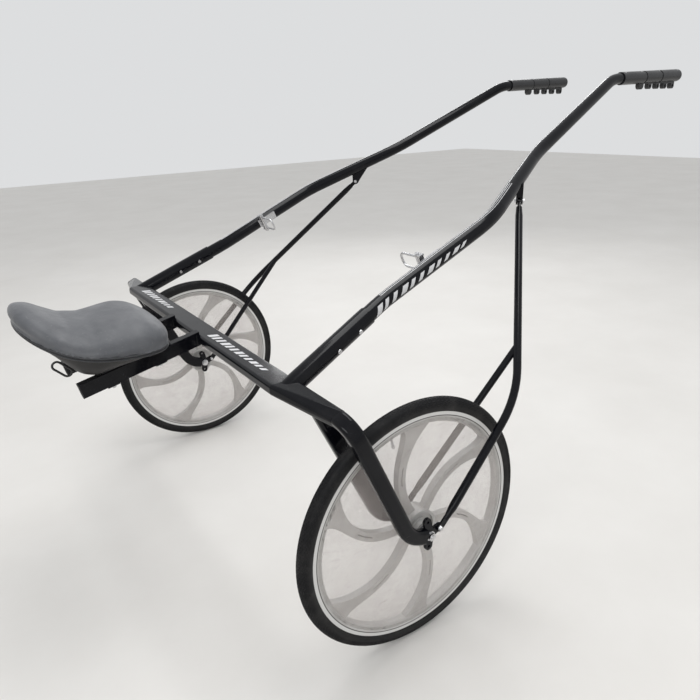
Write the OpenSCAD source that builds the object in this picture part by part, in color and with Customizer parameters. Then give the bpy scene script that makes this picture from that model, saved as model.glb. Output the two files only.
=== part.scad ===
// Two-wheeled harness racing sulky: a flat cross arch carries a saddle seat on two rails,
// a pair of forks straddles each disc wheel, and two shafts rise forward to the horse.
// X forward, Y to the driver's left, Z up, ground at Z = 0, axle line at X = 0. Millimetres.

/* [Wheels] */
// outside radius of the tyre
wheel_r = 348; // [300:1:370]
// distance between the two wheel planes
track = 1467; // [1300:1:1600]
// section diameter of the tyre
tyre_d = 41; // [25:1:50]
// number of curved spokes
spokes = 6; // [3:1:9]
// how far each spoke bows round, in degrees
spoke_bow = 66; // [0:1:90]
// turn of the left wheel at rest, in degrees
left_phase = 36; // [0:1:59]
// turn of the right wheel at rest, in degrees
right_phase = 0; // [0:1:59]

/* [Axles] */
// radius of each fixed axle
axle_r = 6; // [4:0.5:10]
// radial running clearance of the bearings on the axle
run_gap = 0.05; // [0.01:0.01:0.1]
// outside radius of each bearing
bearing_r = 14; // [10:0.5:20]
// half distance between the two hub plates
plate_in = 54; // [45:1:70]
// thickness of a hub plate
plate_t = 8; // [4:0.5:12]

/* [Arch and forks] */
// width of the flat arch, front to back
arch_w = 70; // [50:1:90]
// thickness of the arch
arch_t = 28; // [18:1:40]
// height of the top of the arch
arch_top = 760; // [650:1:850]
// how far the middle of the arch lies behind the axle
arch_back = 258; // [200:1:320]
// front-to-back width of a fork arm
arm_w = 40; // [25:1:50]
// sideways thickness of a fork arm
arm_t = 28; // [18:1:36]

/* [Shafts] */
// outside radius of the rear socket
socket_r = 25; // [20:0.5:32]
// radius of the shaft where it enters the socket
shaft_r = 22; // [16:0.5:28]
// radius of the shaft at the tip
tip_r = 19; // [14:0.5:25]
// radial clearance of the shaft in its socket
socket_gap = 0.15; // [0.05:0.05:0.5]
// radius of the tip grip
grip_r = 22.5; // [18:0.5:28]

/* [Braces] */
// radius of the brace tubes
brace_r = 11; // [8:0.5:13]
// radius of the inner leg of a brace
leg_r = 9.5; // [7:0.5:11]
// radius of the bolts
bolt_r = 4; // [3:0.5:6]
// radial clearance of a bolt in its hole
bolt_gap = 0.1; // [0.05:0.05:0.5]

/* [Hitch combs] */
// radius of each hitch hole
hitch_r = 5; // [3:0.5:8]
// number of hitch holes on a comb
hitch_count = 4; // [2:1:6]
// spacing of the hitch holes
hitch_pitch = 51; // [30:1:60]
// thickness of the comb
comb_t = 16; // [8:1:24]

/* [Footrests] */
// height of the footrest loop
loop_h = 52; // [36:1:70]
// reach of the footrest loop from its hinge
loop_reach = 82; // [70:1:110]
// radius of the loop rod
rod_r = 3.5; // [3:0.5:5]

/* [Seat] */
// spacing of the seat rails, middle to middle
rail_gap = 200; // [150:1:260]
// width of a rail
rail_w = 25; // [15:1:40]
// height of a rail
rail_h = 40; // [25:1:50]
// length of the seat
seat_l = 400; // [330:1:480]
// half width of the seat
seat_hw = 178; // [140:1:210]
// clearance of a clamp round its rail
clamp_gap = 0.3; // [0.1:0.05:0.6]

/* [Hidden] */
$fn = 64;
black = [0.05, 0.05, 0.07];
silver = [0.72, 0.72, 0.72];
half = track / 2;
// a bend is this much slimmer than the straight runs, which lap over its ends
step = 0.15;
lap = 1;
hub_z = wheel_r;
tyre_c = wheel_r - tyre_d / 2;
rim_r = wheel_r - 32;
hub_half = 34;
arch_z = arch_top - arch_t / 2;
plate_mid = plate_in + plate_t / 2;
plate_out = plate_in + plate_t;
arm_off = 60.5;
// half length of the straight part of the arch
arch_half = half - 173.5;
// side profile of a fork arm: shoulder, heel and toe
arm_a = [33 - arch_back, arch_top - 32];
arm_b = [-66, hub_z + 21];
arm_c = [-12, hub_z + 4];
elbow_r = 46;
heel_r = 82;
brace_hole = [29.3, hub_z + 12.3];
// shaft corners, left side
sh = [[18 - arch_back, half - 169.8, arch_top - 18], [80, 508, 878], [470, 507, 1045],
      [822, 358, 1195], [1322, 267, 1419], [1731, 269, 1431]];
shr = [350, 300, 500, 170];
// brace bolt, just below and outside the shaft
lug = sh[2] + (sh[3] - sh[2]) * 0.541 + [0, 13.2, -57.2];
brace_mid = [wheel_r - 39, half + 45, hub_z + 284];
rail_slope = 12.2;
rail_top = arch_top + 6;
rail_front = -arch_back - arch_w / 2;
rail_l = 345;
seat_back = -arch_back - 485;
clamp_x = [-arch_back - 290, -arch_back - 154];
// height of the bottom of the space that the seat's outline is cut from
seat_floor = arch_top - 110;

// half way along the whole length, which is where the origin stands
mid_x = (seat_back - 1 + sh[5][0] + 5) / 2;

function unit(v) = v / norm(v);
function turn(a, b, c) = acos(unit(b - a) * unit(c - b));
function cut(a, b, c, r) = r * tan(turn(a, b, c) / 2);
function rail_z(x) = rail_top + (x - rail_front) * tan(rail_slope);

// puts its children in a frame with the given origin and axes
module at(o, x, y, z) {
    multmatrix([[x[0], y[0], z[0], o[0]], [x[1], y[1], z[1], o[1]],
                [x[2], y[2], z[2], o[2]], [0, 0, 0, 1]])
        children();
}

// rod from p to q
module rod(p, q, r1, r2 = undef) {
    d = unit(q - p);
    s = abs(d[1]) > 0.9 ? [1, 0, 0] : [0, 1, 0];
    x = unit(cross(s, d));
    at(p, x, cross(d, x), d) cylinder(h = norm(q - p), r1 = r1, r2 = is_undef(r2) ? r1 : r2);
}

// round bend of a tube at corner b
module bend(a, b, c, big, r) {
    u = unit(b - a);
    v = unit(c - b);
    n = unit(cross(u, v));
    t = cut(a, b, c, big);
    x = -cross(n, u);
    at(b - u * t - x * big, x, u, n)
        rotate_extrude(angle = turn(a, b, c)) translate([big, 0]) circle(r - step);
}

// rounded rectangle, w along x and h along y
module rounded(w, h, r) {
    square([w - 2 * r, h], center = true);
    square([w, h - 2 * r], center = true);
    for (i = [-1, 1], j = [-1, 1]) translate([i * (w / 2 - r), j * (h / 2 - r)]) circle(r);
}

// straight rounded bar from p to q, its width along n
module bar(p, q, n) {
    d = unit(q - p);
    at(p, cross(n, d), n, d) linear_extrude(norm(q - p)) rounded(arm_t, arm_w, 10);
}

// bend of the rounded bar at corner b, k picks the outline for bends in and across the arm
module bar_bend(a, b, c, big, w, h) {
    u = unit(b - a);
    v = unit(c - b);
    n = unit(cross(u, v));
    t = cut(a, b, c, big);
    x = -cross(n, u);
    at(b - u * t - x * big, x, u, n)
        rotate_extrude(angle = turn(a, b, c)) translate([big, 0])
            rounded(w - 2 * step, h - 2 * step, 10);
}

module mirrored(s) {
    if (s > 0) children();
    else mirror([0, 1, 0]) children();
}

// plate shape from rounded links, in the X-Z plane, from y0 to y1
module linked(y0, y1) {
    translate([0, y1, 0]) rotate([90, 0, 0]) linear_extrude(y1 - y0) children();
}

module link2(p, q, r) {
    translate(p) circle(r);
    translate(q) circle(r);
    translate(p) rotate(atan2(q[1] - p[1], q[0] - p[0])) translate([0, -r + step])
        square([norm(q - p), 2 * (r - step)]);
}

// ---------------------------------------------------------------- frame

module arch_end() {
    hull() {
        translate([-arch_back, arch_half, arch_z]) rotate([-90, 0, 0]) linear_extrude(0.5)
            rounded(arch_w, arch_t, 9);
        at([arm_a[0], half + arm_off - elbow_r - 0.5, arm_a[1]], [0.917, 0, 0.4], [-0.4, 0, 0.917],
           [0, 1, 0])
            linear_extrude(0.5) rounded(arm_w, arm_t, 9);
    }
}

module arch() {
    color(black) {
        translate([-arch_back, -arch_half, arch_z]) rotate([-90, 0, 0]) linear_extrude(2 * arch_half)
            rounded(arch_w, arch_t, 9);
        arch_end();
        mirror([0, 1, 0]) arch_end();
    }
}

// one fork arm from its head down to the hub plate, at distance y from the middle
module arm_low(head, y, top) {
    a = [head[0], y, head[1]];
    b = [arm_b[0], y, arm_b[1]];
    c = [arm_c[0], y, arm_c[1]];
    d = unit(b - a);
    n = cross(d, [0, 1, 0]);
    t = cut(a, b, c, heel_r);
    bar(a + d * (top - lap), b - d * (t - lap), n);
    bar_bend(a, b, c, heel_r, arm_w, arm_t);
    e = unit(c - b);
    m = cross(e, [0, 1, 0]);
    bar(b + e * (t - lap), c - e * 6, m);
}

module fork_outer() {
    y = half + arm_off;
    a = [arm_a[0], y, arm_a[1]];
    b = [arm_b[0], y, arm_b[1]];
    color(black) {
        bar_bend(a - [0, 100, 0], a, b, elbow_r, arm_t, arm_w);
        arm_low(arm_a, y, elbow_r);
    }
}

module fork_inner() {
    color(black) arm_low([22 - arch_back, arch_top - 25], half - arm_off, 10);
}

// hub plate: holes above and below the axle, and an ear for the brace ahead of it
module hub_plate(y0) {
    up = [-8, hub_z + 42];
    low = [-4, hub_z - 30];
    color(black) difference() {
        linked(y0, y0 + plate_t) {
            link2(up, [0, hub_z], 11.5);
            link2([0, hub_z], low, 11.5);
            link2([-2, hub_z + 2], brace_hole, 11);
            translate([0, hub_z]) circle(17);
            link2([-22, hub_z + 7], [0, hub_z + 2], 15);
        }
        linked(y0 - 1, y0 + plate_t + 1) {
            translate([0, hub_z]) circle(axle_r + 0.1);
            translate(up) circle(4);
            translate(low) circle(4);
            translate(brace_hole) circle(bolt_r + bolt_gap);
        }
    }
}

module plates(s) {
    if (s > 0) hub_plate(half + plate_in);
    else hub_plate(half - plate_out);
}

// ---------------------------------------------------------------- axles

module axle() {
    color(silver) rod([0, half - plate_out - 12, hub_z], [0, half + plate_out + 12, hub_z], axle_r);
}

module nut(y, d) {
    difference() {
        union() {
            rod([0, y, hub_z], [0, y + 2 * d, hub_z], 13);
            translate([0, y + 2 * d, hub_z]) rotate([-90 * d, 0, 0]) cylinder(h = 8, r = 10.9, $fn = 6);
        }
        rod([0, y - d, hub_z], [0, y + 12 * d, hub_z], axle_r);
    }
}

module axle_nuts() {
    color(silver) for (s = [1, -1]) mirrored(s) {
        nut(half + plate_out, 1);
        nut(half - plate_out, -1);
    }
}

module axle_spacers() {
    color(silver) for (s = [1, -1], d = [1, -1]) mirrored(s) difference() {
        rod([0, half + d * (hub_half + 0.3), hub_z], [0, half + d * plate_in, hub_z], 9.5);
        rod([0, half + d * hub_half, hub_z], [0, half + d * (plate_in + 1), hub_z], axle_r);
    }
}

// ---------------------------------------------------------------- shafts

bend_r = [shaft_r, shaft_r, 20.5, tip_r];
function shaft_cut(i) = cut(sh[i - 1], sh[i], sh[i + 1], shr[i - 1]);

// straight run of the shaft after corner i
module shaft_run(i) {
    u = unit(sh[i + 1] - sh[i]);
    t = i < 4 ? shaft_cut(i + 1) : 0;
    rod(sh[i] + u * (shaft_cut(i) - lap), sh[i + 1] - u * (t > 0 ? t - lap : 0), bend_r[i - 1],
        i < 4 ? bend_r[i] : tip_r);
}

socket_l = 286;
// how far the socket's end is sunk into the arch
socket_in = 20;
bolt_at = [154, 234];

module shaft_bolt_holes(r) {
    d = unit(sh[1] - sh[0]);
    x = unit(cross(d, [0, 0, 1]));
    for (k = bolt_at) {
        c = sh[0] + d * k - [0, 0, 5];
        rod(c - x * 40, c + x * 40, r);
    }
}

module shaft_socket() {
    d = unit(sh[1] - sh[0]);
    color(black) difference() {
        rod(sh[0] - d * socket_in, sh[0] + d * socket_l, socket_r);
        rod(sh[0] + d * 60, sh[0] + d * (socket_l + 5), shaft_r + socket_gap);
        shaft_bolt_holes(bolt_r + bolt_gap);
        translate([-arch_back, arch_half - 160, arch_z]) rotate([-90, 0, 0]) linear_extrude(160.5)
            rounded(arch_w, arch_t, 9);
        arch_end();
    }
}

module shaft() {
    d0 = unit(sh[1] - sh[0]);
    color(black) {
        difference() {
            rod(sh[0] + d0 * 66, sh[1] - d0 * (shaft_cut(1) - lap), shaft_r);
            shaft_bolt_holes(bolt_r + bolt_gap);
        }
        for (i = [1:4]) {
            bend(sh[i - 1], sh[i], sh[i + 1], shr[i - 1], bend_r[i - 1]);
            shaft_run(i);
        }
    }
}

module cap_head(c, x, r, h) {
    rod(c, c + x * h, r, r * 0.7);
}

module shaft_bolts() {
    d = unit(sh[1] - sh[0]);
    x = unit(cross(d, [0, 0, 1]));
    color(silver) for (s = [1, -1], k = bolt_at) mirrored(s) {
        c = sh[0] + d * k - [0, 0, 5];
        e = sqrt(socket_r * socket_r - 25);
        rod(c - x * e, c + x * e, bolt_r);
        cap_head(c + x * (e - 1.5), x, 7, 4.5);
        cap_head(c - x * (e - 1.5), -x, 7, 4.5);
    }
}

// ---------------------------------------------------------------- braces

lug_e = unit([-0.725, 0.689, 0]);
lug_n = unit([0.689, 0.725, 0]);

module lug_cheek(n0, n1) {
    at(lug + lug_n * n1, lug_e, [0, 0, 1], -lug_n) linear_extrude(n1 - n0) {
        circle(11.5);
        polygon([[-11, -3], [11, -3], [13, 52], [-64, 84], [-62, 70]]);
    }
}

module brace_lug() {
    color(black) difference() {
        lug_cheek(-10, 10);
        rod(lug - lug_n * 5.4, lug + lug_n * 5.4, 17);
        rod(sh[2], sh[3], shaft_r - 0.4, bend_r[2]);
        rod(lug - lug_n * 20, lug + lug_n * 20, bolt_r + bolt_gap);
    }
}

// flat tab on the end of a brace leg, at the hub plate
module leg_tab(from, y0, y1) {
    difference() {
        linked(y0, y1) link2([from[0], from[2]], brace_hole, 9.5);
        rod([brace_hole[0], y0 - 1, brace_hole[1]], [brace_hole[0], y1 + 1, brace_hole[1]],
            bolt_r + bolt_gap);
    }
}

leg_y = half + plate_out + 4.5;
leg_low = [brace_hole[0], leg_y, brace_hole[1]];

module brace_tube() {
    d1 = unit(brace_mid - lug);
    d2 = unit(leg_low - brace_mid);
    t = cut(lug, brace_mid, leg_low, 330);
    rod(lug + d1 * 26, lug + d1 * 56, 9, brace_r - step);
    rod(lug + d1 * 55, brace_mid - d1 * (t - lap), brace_r);
    bend(lug, brace_mid, leg_low, 330, brace_r);
    rod(brace_mid + d2 * (t - lap), leg_low - d2 * 60, brace_r);
    rod(leg_low - d2 * 61, leg_low - d2 * 24, brace_r - step, 6);
}

module brace() {
    d1 = unit(brace_mid - lug);
    d2 = unit(leg_low - brace_mid);
    n = unit(cross(d1, lug_n));
    color(black) {
        difference() {
            union() {
                brace_tube();
                at(lug - lug_n * 5, d1, n, -cross(n, d1)) translate([0, -7, 0]) mirror([0, 0, 1])
                    cube([32, 14, 10]);
                rod(lug - lug_n * 5, lug + lug_n * 5, 9.5);
            }
            rod(lug - lug_n * 7, lug + lug_n * 7, bolt_r + bolt_gap);
        }
        leg_tab(leg_low - d2 * 30, half + plate_out, half + plate_out + 5);
    }
}

leg_in = brace_mid - unit(brace_mid - lug) * 154;
leg_in_low = [brace_hole[0], half - plate_out - 4.5, brace_hole[1]];

module brace_leg() {
    d = unit(leg_in_low - leg_in);
    color(black) {
        difference() {
            union() {
                rod(leg_in, leg_in_low - d * 60, leg_r);
                rod(leg_in_low - d * 61, leg_in_low - d * 24, leg_r - step, 6);
            }
            rod(lug, leg_in - unit(lug - brace_mid) * 30, brace_r);
        }
        leg_tab(leg_in_low - d * 30, half - plate_out - 5, half - plate_out);
    }
}

module bolt_through(p, q, r, head) {
    d = unit(q - p);
    rod(p - d * 3, q + d * 3, r);
    cap_head(p, -d, head, 5);
    difference() {
        rod(q, q + d * 5, head);
        rod(q + d * 3, q + d * 7, r * 0.6);
    }
}

module brace_bolts() {
    color(silver) for (s = [1, -1]) mirrored(s) {
        bolt_through(lug - lug_n * 10, lug + lug_n * 10, bolt_r, 7.5);
        bolt_through([brace_hole[0], half + plate_out + 5, brace_hole[1]],
                     [brace_hole[0], half + plate_in, brace_hole[1]], bolt_r, 7.5);
        bolt_through([brace_hole[0], half - plate_out - 5, brace_hole[1]],
                     [brace_hole[0], half - plate_in, brace_hole[1]], bolt_r, 7.5);
    }
}

// ---------------------------------------------------------------- tips

tip_u = unit(sh[5] - sh[4]);
// place on the tip's middle line at a given X
function tip_at(x) = sh[4] + (sh[5] - sh[4]) * ((x - sh[4][0]) / (sh[5][0] - sh[4][0]));

tip_x = sh[5][0];
// where each length of the grip starts and ends
grip_part = [[tip_x - 367, tip_x - 235], [tip_x - 227, tip_x - 133], [tip_x - 125, tip_x - 5]];
screw_x = [tip_x - 351, tip_x - 253, tip_x - 139, tip_x - 17];

module grip() {
    color([0.08, 0.08, 0.09]) difference() {
        union() {
            rod(tip_at(tip_x - 366), tip_at(tip_x + 1), grip_r - 1.4);
            for (p = grip_part) rod(tip_at(p[0]), tip_at(p[1]), grip_r);
            rod(tip_at(tip_x - 6), tip_at(tip_x + 5), grip_r - 0.5, grip_r - 6);
        }
        rod(tip_at(tip_x - 380), tip_at(tip_x + 0.3), tip_r + 0.05);
    }
}

module grip_screws() {
    color(silver) for (s = [1, -1], x = screw_x) mirrored(s) {
        k = unit([0, 0.5, 0.86]);
        p = tip_at(x) + k * (grip_r - 4);
        rod(p, p + k * 4.6, 3.2, 2.4);
    }
}

comb_x = tip_x - 185;
comb_low = 34;

module comb_outline() {
    translate([comb_x - 56, 2]) circle(14);
    for (i = [0:hitch_count - 1]) {
        translate([comb_x + i * hitch_pitch, 0]) circle(11);
        translate([comb_x + i * hitch_pitch - 11, 0]) square([22, 24]);
    }
    translate([comb_x - 70, 2]) square([28, 22]);
    translate([comb_x - 70, 8]) square([81 + (hitch_count - 1) * hitch_pitch, 16]);
}

module comb() {
    y = tip_at(comb_x)[1];
    z = tip_at(tip_x - 111)[2] - comb_low;
    color([0.03, 0.03, 0.035]) difference() {
        translate([0, 0, z]) linked(y - comb_t / 2, y + comb_t / 2) comb_outline();
        rod(tip_at(comb_x - 126), tip_at(tip_x + 20), grip_r + 0.05);
        for (i = [0:hitch_count - 1])
            rod([comb_x + i * hitch_pitch, y - comb_t, z], [comb_x + i * hitch_pitch, y + comb_t, z],
                hitch_r);
    }
}

// ---------------------------------------------------------------- footrests

sh_d = unit(sh[2] - sh[1]);
sh_up = unit(cross(sh_d, [0, 1, 0]));
foot_s = 172;
foot_c = sh[1] + sh_d * foot_s;
pin_y = shaft_r + 15;
pin_c = foot_c - [0, pin_y, 0];

// frame along the shaft: x along it, y outward, z square to it
module on_shaft() {
    at(foot_c, sh_d, [0, 1, 0], sh_up) children();
}

module footrest_plate() {
    color(silver) difference() {
        union() {
            on_shaft() {
                translate([-16, -shaft_r - 4, -13]) cube([78, 10, 26]);
                for (k = [-1, 1]) translate([0, -pin_y, k * (loop_h / 2 + 3.3)]) {
                    cylinder(h = 5, r = 8, center = true);
                    translate([-8, 0, -2.5]) cube([16, pin_y - shaft_r + 4, 5]);
                }
                translate([-8, -shaft_r - 6, -loop_h / 2 - 5.8]) cube([16, 6, loop_h + 11.6]);
            }
        }
        rod(sh[1], sh[2], shaft_r);
        rod(pin_c - sh_up * 60, pin_c + sh_up * 60, 3.5);
    }
}

module footrest_pins() {
    color(silver) for (s = [1, -1]) mirrored(s) {
        rod(pin_c - sh_up * (loop_h / 2 + 8), pin_c + sh_up * (loop_h / 2 + 8), 3.5);
        rod(pin_c + sh_up * (loop_h / 2 + 5.8), pin_c + sh_up * (loop_h / 2 + 9), 6);
        rod(pin_c - sh_up * (loop_h / 2 + 9), pin_c - sh_up * (loop_h / 2 + 5.8), 6);
    }
}

// loop of round rod closed by the sleeve that turns on the pin
module footrest_loop() {
    h = loop_h / 2 - rod_r;
    b = 18;
    e = loop_reach - rod_r - b;
    color(silver) at(pin_c, sh_d, [0, 1, 0], sh_up) {
        difference() {
            cylinder(h = loop_h, r = 7, center = true);
            cylinder(h = loop_h + 2, r = 3.5 + run_gap, center = true);
        }
        for (k = [-1, 1]) {
            rod([0, -5, k * h], [0, -e - 1, k * h], rod_r);
            translate([0, -e, k * (h - b)]) rotate([0, 90, 0]) rotate(k > 0 ? 180 : 270)
                rotate_extrude(angle = 90) translate([b, 0]) circle(rod_r - step);
        }
        rod([0, -e - b, -(h - b) - 1], [0, -e - b, h - b + 1], rod_r);
    }
}

// ---------------------------------------------------------------- seat rails

module rail_box(x0, x1, y0, y1, z0, z1) {
    translate([rail_front, 0, rail_top]) rotate([0, -rail_slope, 0])
        translate([x0, y0, z0]) cube([x1 - x0, y1 - y0, z1 - z0]);
}

module rail_half() {
    y = rail_gap / 2;
    color(black) difference() {
        rail_box(-rail_l + 3, 30, y - rail_w / 2, y + rail_w / 2, -rail_h, 0);
        rail_box(-rail_l, -20, y - rail_w / 2 + 2, y + rail_w / 2 - 2, -rail_h + 2, -2);
        translate([-arch_back, y - 50, arch_z]) rotate([-90, 0, 0]) linear_extrude(100)
            rounded(arch_w, arch_t, 9);
        translate([rail_front + 8, 0, 0]) cube([200, 300, arch_top + 140]);
    }
}

module rail_caps() {
    y = rail_gap / 2;
    color([0.03, 0.03, 0.03]) for (s = [1, -1]) mirrored(s) {
        rail_box(-rail_l, -rail_l + 3, y - rail_w / 2, y + rail_w / 2, -rail_h, 0);
        rail_box(-rail_l + 2, -rail_l + 22, y - rail_w / 2 + 2, y + rail_w / 2 - 2, -rail_h + 2, -2);
    }
}

// ---------------------------------------------------------------- seat

// outline of the seat from above
module seat_plan(k) {
    x0 = seat_back + k;
    x1 = seat_back + seat_l - k;
    w = seat_hw - k;
    polygon([for (i = [0:71])
        let (a = i * 5,
             c = cos(a),
             s = sin(a),
             e = c > 0 ? 0.5 : 0.72,
             xc = (x0 + x1) / 2,
             xr = (x1 - x0) / 2)
        [xc + xr * sign(c) * pow(abs(c), e), w * sign(s) * pow(abs(s), 0.78)]]);
}

// height of the seat's lower edge and top along its length, t from 0 at the back
function seam_h(t) = arch_top - 3 + 108 * pow(1 - t, 3.6);
function top_h(t) = arch_top + 83 + 46 * pow(max(0, 1 - t * 2.6), 2) * (1 - pow(max(0, 1 - t * 9), 3))
    + 6 * sin(min(180, max(0, (t - 0.42) * 360))) - 78 * pow(max(0, (t - 0.66) / 0.34), 2.2);
function ease(u) = let (v = min(1, max(0, u))) v * v * (3 - 2 * v);
function pan_depth(t) = 22 + 43 * ease((t - 0.13) / 0.22);
function base_h(t) = max(rail_z(seat_back + seat_l * t) + 6, seam_h(t) - pan_depth(t));

function welt_x(t) = seat_back - 2 + (seat_l + 4) * t;
function welt_low(t) = max(seam_h(t) - 4, rail_z(welt_x(t)) + 0.8);

module seat_side(y0, y1) {
    linked(y0, y1) children();
}

module seat_cushion() {
    color([0.42, 0.43, 0.45]) intersection() {
        translate([0, 0, seat_floor]) linear_extrude(300) seat_plan(0);
        seat_side(-seat_hw - 5, seat_hw + 5)
            polygon(concat([for (i = [0:40]) let (t = i / 40) [seat_back + seat_l * t, seam_h(t)]],
                           [for (i = [40:-1:0]) let (t = i / 40)
                               [seat_back + seat_l * t, max(top_h(t), seam_h(t) + 6)]]));
    }
}

module seat_piping() {
    color([0.07, 0.07, 0.08]) difference() {
        intersection() {
            translate([0, 0, seat_floor]) linear_extrude(300) seat_plan(-1);
            seat_side(-seat_hw - 5, seat_hw + 5)
                polygon(concat([for (i = [0:40]) [welt_x(i / 40), welt_low(i / 40)]],
                               [for (i = [40:-1:0]) [welt_x(i / 40), seam_h(i / 40)]]));
        }
        translate([0, 0, seat_floor]) linear_extrude(400) seat_plan(5);
    }
}

// layer of the pan: its outline drawn in by k, down to the given depth below the seam
module pan_layer(k, depth) {
    intersection() {
        translate([0, 0, seat_floor]) linear_extrude(300) seat_plan(k);
        seat_side(-seat_hw, seat_hw)
            polygon(concat([for (i = [0:40]) let (t = i / 40)
                               [seat_back + seat_l * t,
                                max(seam_h(t) - depth, min(base_h(t), seam_h(t) - 5))]],
                           [for (i = [40:-1:0]) let (t = i / 40) [seat_back + seat_l * t, seam_h(t)]]));
    }
}

module seat_pan() {
    color([0.09, 0.075, 0.07]) intersection() {
        translate([seat_back, -300, seat_floor]) cube([seat_l - 29, 600, 400]);
        union() {
            pan_layer(6, 20);
            pan_layer(24, 42);
            pan_layer(44, 90);
        }
    }
}

// one clamp hooked round a rail from the inside, over its top and under its bottom
module clamp_block(x) {
    y = rail_gap / 2;
    s0 = (x - rail_front) / cos(rail_slope);
    difference() {
        rail_box(s0 - 17, s0 + 17, y - rail_w / 2 - 5, y + rail_w / 2 - 4, -rail_h - 5, 5.5);
        rail_box(s0 - 18, s0 + 18, y - rail_w / 2 - clamp_gap, y + rail_w / 2 + clamp_gap,
                 -rail_h - clamp_gap, clamp_gap);
    }
}

module seat_clamps() {
    color(black) for (s = [1, -1], x = clamp_x) mirrored(s) clamp_block(x);
}

module seat_bolts() {
    color(silver) for (s = [1, -1], x = clamp_x) mirrored(s) {
        s0 = (x - rail_front) / cos(rail_slope);
        y = rail_gap / 2;
        translate([rail_front, 0, rail_top]) rotate([0, -rail_slope, 0])
            translate([s0, y, -rail_h - 5]) rotate([180, 0, 0]) cylinder(h = 6, r1 = 7, r2 = 5.5);
    }
}

// closed wire ring welded under the back of the pan
module seat_loop() {
    e = unit([0.69, 0, -0.72]);
    n = cross(e, [0, 1, 0]);
    ring_x = 87;
    c = [seat_back + ring_x, -95, base_h(ring_x / seat_l) - 20.5];
    color([0.05, 0.05, 0.05]) for (k = [-1, 1]) {
        at(c + e * 16 * k, -n * k, e * k, [0, 1, 0] )
            rotate_extrude(angle = 180) translate([11, 0]) circle(3 - step);
        rod(c + n * 11 * k - e * 17, c + n * 11 * k + e * 17, 3);
    }
}

// ---------------------------------------------------------------- wheels

// angle of a spoke's middle line and its half width, t from 0 at the hub to 1 at the rim
function bow(t) = spoke_bow * pow(t, 0.5) * pow(1 - t, 1.35);
function wide(t) = 10.5 + 2.5 * t + 27 * pow(t, 8);
spoke_r0 = 16;
spoke_r1 = rim_r - 27;
function spoke_pt(t, k) = let (r = spoke_r0 + (spoke_r1 - spoke_r0) * t,
                               a = bow(t) + k * wide(t) / max(r, 30) * 57.3)
    [r * cos(a), r * sin(a)];

module spoke_shape() {
    polygon(concat([for (i = [0:28]) spoke_pt(i / 28, -1)], [for (i = [28:-1:0]) spoke_pt(i / 28, 1)]));
}

module slot_shape() {
    polygon(concat([for (i = [0:6]) spoke_pt(0.46 + i * 0.03, -0.12)],
                   [for (i = [6:-1:0]) spoke_pt(0.46 + i * 0.03, 0.12)]));
}

module rim_section() {
    polygon([for (k = [-1, 1], p = [[rim_r - 30, 8], [rim_r - 26, 12.5], [rim_r - 18, 12.5],
                                    [rim_r - 16, 14], [rim_r, 14], [rim_r, 12], [rim_r - 7, 11],
                                    [rim_r - 11, 5]])
        k < 0 ? [p[0], -p[1]] : [p[0], p[1]]],
        [concat([for (i = [0:7]) i], [for (i = [15:-1:8]) i])]);
}

module wheel(phase) {
    color(silver) difference() {
        union() {
            rotate_extrude() rim_section();
            for (i = [0:spokes - 1]) rotate(90 + phase + i * 360 / spokes) difference() {
                translate([0, 0, -9.5]) linear_extrude(19) spoke_shape();
                translate([0, 0, -12]) linear_extrude(24) slot_shape();
            }
            cylinder(h = 2 * hub_half, r = 22, center = true);
            cylinder(h = 48, r = 50, center = true);
        }
        for (k = [-1, 1]) translate([0, 0, k * 29]) cylinder(h = 26, r = bearing_r, center = true);
        cylinder(h = 100, r = axle_r + 3, center = true);
        for (k = [-1, 1]) translate([0, 0, k * 23]) rotate_extrude() translate([29, -5.5]) square([13, 11]);
        rotate([0, 90, 15 + 90 + phase]) translate([0, 0, rim_r - 60]) cylinder(h = 100, r = 3.2);
    }
}

module tyre() {
    color([0.05, 0.05, 0.05]) rotate_extrude() difference() {
        translate([tyre_c, 0]) circle(tyre_d / 2);
        translate([tyre_c, 0]) circle(tyre_d / 2 - 7);
        translate([0, -50]) square([rim_r - 7, 100]);
        for (k = [-1, 1]) translate([rim_r - 20, k > 0 ? 10.6 : -40.6]) square([20.2, 30]);
        translate([rim_r - 20, -5.5]) square([20.2, 11]);
    }
}

module bearings() {
    color([0.6, 0.6, 0.62]) for (k = [-1, 1]) translate([0, 0, k * 25]) difference() {
        cylinder(h = 18, r = bearing_r, center = true);
        cylinder(h = 19, r = axle_r + run_gap, center = true);
    }
}

module disc(k) {
    color([0.85, 0.87, 0.88, 0.3]) rotate_extrude()
        polygon([[50.2, k * 23.5], [rim_r - 26, k * 12.5], [rim_r - 18.3, k * 12.5],
                 [rim_r - 18.3, k * 13.5], [rim_r - 26, k * 13.5], [50.2, k * 24.5]]);
}

module valve(phase) {
    color(silver) rotate([0, 90, 15 + 90 + phase]) {
        translate([0, 0, rim_r - 48]) cylinder(h = 40, r = 3);
        translate([0, 0, rim_r - 62]) cylinder(h = 14, r = 3.8);
    }
}

module at_wheel(s) {
    translate([0, s * half, hub_z]) rotate([90, 0, 0]) children();
}

// ---------------------------------------------------------------- nodes

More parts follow.
